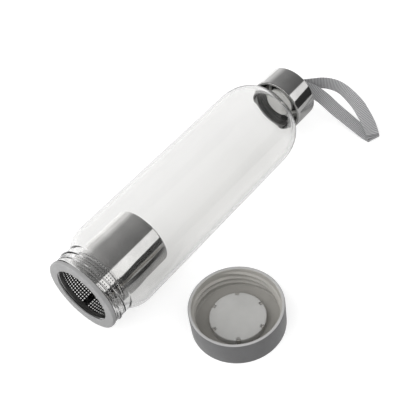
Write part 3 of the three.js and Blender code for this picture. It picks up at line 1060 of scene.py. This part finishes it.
# Steel darkened as painted shade, for the band between the holes inside the cup
shaded_band_steel = steel_material("steel between the holes in painted shade", shades=(0.07, 0.11), roughness=(0.25, 0.4))
ring_silicone = moulded_material(
    "grey silicone", shades=(0.27, 0.31), tint=(1, 1, 1), roughness=(0.42, 0.58),
    grain_scale=900, grain=0.12,
)
pale_silicone = moulded_material(
    "pale silicone", shades=(0.4, 0.45), tint=(1, 0.995, 0.97), roughness=(0.42, 0.58),
    grain_scale=900, grain=0.12,
)
grey_plastic = coated_material(
    "grey moulded plastic",
    coat=(0.105, 0.105, 0.107),
    # The rim's paler colour is a painted highlight on its top face
    rim=(0.38, 0.378, 0.375),
    bare=(0.335, 0.325, 0.303),
)
liner_plastic = moulded_material(
    "dark liner plastic", shades=(0.03, 0.05), tint=(1, 1, 0.98), roughness=(0.37, 0.53),
    grain_scale=1600, grain=0.15,
)
woven_ribbon = ribbon_material()

strap, strap_length = carry_strap()
dress(glass_bottle(), clear_glass, "glass_bottle", "bottle")
cup = infuser_cup()
dress(cup, polished_steel, "infuser_cup", "infuser")
# The cup's inside band and mouth take steel darkened as painted shade
cup.data.materials.append(shaded_band_steel)
cup.data.materials.append(shaded_satin_steel)
dress(infuser_ring(), ring_silicone, "infuser_ring", "infuser")
dress(base_cap(), grey_plastic, "base_cap", "base_cap")
dress(base_cap_pad(), pale_silicone, "base_cap_pad", "base_cap")
shell = top_cap_shell()
dress(shell, polished_steel, "top_cap_shell", "top_cap")
# Steel darkened as painted shade for the hem under the cap
shell.data.materials.append(shaded_satin_steel)
dress(top_cap_insert(), liner_plastic, "top_cap_insert", "top_cap")
dress(neck_seal(), pale_silicone, "neck_seal", "cap_seals")
dress(plug_pad(), pale_silicone, "plug_pad", "cap_seals")
dress(strap_staple(), polished_steel, "strap_staple", "top_cap")
dress(strap, woven_ribbon, "carry_strap", "strap")


# Stage: white floor, a studio that is bright behind and beside the object, and a dark card

camera_heading = math.radians(43.73)
picture_right = Vector((math.cos(camera_heading), -math.sin(camera_heading), 0))


def plain_share(tree, path):
    """1 for rays that glass lets through or mirrors, which see plain white, and 0 for those that
    steel mirrors. A ray that has been to the steel in the bottle has passed 3 or 4 faces of glass."""
    no_mirror = 0.5
    steel_faces = 3.5
    either_side = 1
    straight = calculate(tree, "LESS_THAN", path.outputs["Glossy Depth"], no_mirror)
    past_steel = calculate(tree, "COMPARE", path.outputs["Transmission Depth"], steel_faces, either_side)
    sharp = calculate(tree, "SUBTRACT", path.outputs["Is Singular Ray"], past_steel)
    return calculate(tree, "MAXIMUM", straight, sharp)


def white_floor():
    """Floor that shows white to the camera, also through glass, and keeps the object's shadow. Through
    glass it glows less towards -Y of the bottle, a painted shadow beside its contact line; in steel it
    glows only behind the bottle, painted light there and painted shade in front.
    """
    half_size = 3.0
    camera_lift = 0.62
    # Painted light and shade: in steel the floor glows only behind the bottle, and through glass it glows
    # less towards -Y of the bottle, a painted shadow beside its contact line
    painted_light_span = ((axis_y - 20) * MM, (axis_y + 50) * MM)
    painted_light_levels = (0, 0.8)
    painted_shadow_span = ((axis_y - 0.68 * body_radius) * MM, (axis_y + 0.15 * body_radius) * MM)
    painted_shadow_levels = (0.33, 0.4)
    material, tree, shader = new_material("white floor")
    shader.inputs["Base Color"].default_value = (0.5, 0.5, 0.5, 1)
    shader.inputs["Roughness"].default_value = 0.9
    shader.inputs["Specular IOR Level"].default_value = 0.1
    bump(tree, shader, noise(tree, scale=400, detail=2), strength=0.02, distance=0.1)
    path = tree.nodes.new("ShaderNodeLightPath")
    where = tree.nodes.new("ShaderNodeNewGeometry")
    place = tree.nodes.new("ShaderNodeSeparateXYZ")
    tree.links.new(where.outputs["Position"], place.inputs["Vector"])
    # Glow by place on the floor: painted light behind the bottle in steel, painted shadow beside it
    # through glass
    painted_light_in_steel = map_range(tree, place.outputs["Y"], painted_light_span, painted_light_levels)
    painted_shadow_through_glass = map_range(tree, place.outputs["Y"], painted_shadow_span, painted_shadow_levels)
    shown = mixed(tree, plain_share(tree, path), painted_light_in_steel, painted_shadow_through_glass, kind="FLOAT")
    bounced = calculate(
        tree, "MAXIMUM", path.outputs["Is Glossy Ray"], path.outputs["Is Transmission Ray"],
    )
    optical = calculate(tree, "MULTIPLY", bounced, shown)
    lift = calculate(tree, "MULTIPLY_ADD", path.outputs["Is Camera Ray"], camera_lift, optical)
    shader.inputs["Emission Color"].default_value = (1, 1, 1, 1)
    tree.links.new(lift, shader.inputs["Emission Strength"])
    mesh = bpy.data.meshes.new("floor")
    corners = [(x * half_size, y * half_size, FLOOR_Z) for x, y in ((-1, -1), (1, -1), (1, 1), (-1, 1))]
    mesh.from_pydata(corners, [], [(0, 1, 2, 3)])
    mesh.materials.append(material)
    new_object("floor", mesh)


def level_ramp(tree, value, reach, stops):
    """Grey levels at places of a value that runs from -reach to reach"""
    ramp = tree.nodes.new("ShaderNodeValToRGB")
    tree.links.new(map_range(tree, value, (-reach, reach)), ramp.inputs["Fac"])
    elements = ramp.color_ramp.elements
    while len(elements) < len(stops):
        elements.new(0.5)
    for element, (place, level) in zip(elements, stops):
        element.position = (place + reach) / (2 * reach)
        element.color = (level, level, level, 1)
    return ramp.outputs["Color"]


def studio_world():
    """Studio that metal and glass mirror: light by its angle over the bottle, from the floor at -Y
    over the zenith to the floor at +Y, and dim behind the camera. Matt pieces get the soft light
    of two boxes, left and right of the picture."""
    levels_over = [
        (-84, 0.03),
        (-81, 1.25),
        (-43, 1.25),
        (-40, 0.16),
        (0, 0.24),
        (20, 0.31),
        (47, 0.36),
        (74, 1.0),
    ]
    levels_along = [
        (-0.4, 0.25),
        (0.1, 1),
        (0.4, 1.05),
        (0.57, 0.8),
    ]
    plain_white = (0.85, 0.85, 0.85, 1)
    left_favour = 0.14
    box_levels = (0.05, 3)
    world = bpy.data.worlds.new("studio")
    bpy.context.scene.world = world
    world.use_nodes = True
    tree = world.node_tree
    direction = tree.nodes.new("ShaderNodeTexCoord").outputs["Generated"]
    split = tree.nodes.new("ShaderNodeSeparateXYZ")
    tree.links.new(direction, split.inputs["Vector"])
    angle = calculate(tree, "ARCTAN2", split.outputs["Y"], split.outputs["Z"])
    over_stops = [(math.radians(degrees), level) for degrees, level in levels_over]
    over = level_ramp(tree, angle, math.pi, over_stops)
    along = level_ramp(tree, split.outputs["X"], 1, levels_along)
    mirrored = mixed(tree, 1, over, along, blend="MULTIPLY")
    sideways = tree.nodes.new("ShaderNodeVectorMath")
    sideways.operation = "DOT_PRODUCT"
    sideways.inputs[1].default_value = picture_right
    tree.links.new(direction, sideways.inputs[0])
    off_centre = calculate(tree, "SUBTRACT", sideways.outputs["Value"], left_favour)
    square = calculate(tree, "MULTIPLY", off_centre, off_centre)
    soft = map_range(tree, square, (0, 1), box_levels, clamp=False)
    path = tree.nodes.new("ShaderNodeLightPath")
    optical = mixed(tree, plain_share(tree, path), mirrored, plain_white)
    light = mixed(tree, path.outputs["Is Diffuse Ray"], optical, soft)
    tree.links.new(light, tree.nodes["Background"].inputs["Color"])
    tree.nodes["Background"].inputs["Strength"].default_value = 1


def dark_card():
    """Low dark card in front, which the steel mirrors as its black band; the camera looks over it.
    It stands askew, nearer to the top cap, and rises to the right."""
    front_y = -102
    top = 61.6
    askew = 0.18
    rise = 0.086
    half_length = 600
    material, _, shader = new_material("dark card")
    shader.inputs["Base Color"].default_value = (0.02, 0.02, 0.02, 1)
    shader.inputs["Roughness"].default_value = 0.8
    points = []
    for x, share in ((-half_length, 0), (half_length, 0), (half_length, 1), (-half_length, 1)):
        points.append(MM * Vector((x, front_y + askew * x, share * (top + rise * x))))
    mesh = bpy.data.meshes.new("dark_card")
    mesh.from_pydata(points, [], [(0, 1, 2, 3)])
    mesh.materials.append(material)
    card = new_object("dark_card", mesh)
    card.visible_camera = False
    card.visible_diffuse = False
    card.visible_shadow = False


def top_lamp():
    """Large soft lamp overhead, which the polished steel doesn't mirror"""
    aim = Vector((0.06, 0.05, 0))
    lamp = bpy.data.lights.new("overhead_softbox", "AREA")
    lamp.shape = "RECTANGLE"
    lamp.size = 1.6
    lamp.size_y = 1.6
    lamp.energy = 11.5
    obj = new_object("overhead_softbox", lamp)
    obj.location = (-0.5, -0.4, 1.15)
    obj.rotation_euler = (aim - obj.location).to_track_quat("-Z", "Y").to_euler()
    obj.visible_glossy = False
    obj.visible_transmission = False


def camera():
    """Camera from the photograph's fit: where it stands, where it points and how it is rolled"""
    position = Vector((-238.04, -238.22, 493.59)) * MM
    elevation = math.radians(48.28)
    roll = math.radians(9.63)
    level = math.cos(elevation)
    forward = Vector((
        level * math.sin(camera_heading),
        level * math.cos(camera_heading),
        -math.sin(elevation),
    ))
    up = picture_right.cross(forward)
    rolled_right = math.cos(roll) * picture_right - math.sin(roll) * up
    rolled_up = rolled_right.cross(forward)
    lens = bpy.data.cameras.new("camera")
    lens.sensor_width = 36
    lens.lens = 78.5
    lens.clip_start = 0.01
    obj = new_object("camera", lens)
    axes = Matrix((rolled_right, rolled_up, -forward)).transposed()
    obj.matrix_world = Matrix.Translation(position) @ axes.to_4x4()
    bpy.context.scene.camera = obj


white_floor()
dark_card()
studio_world()
top_lamp()
camera()
bpy.context.scene.view_settings.view_transform = "Standard"
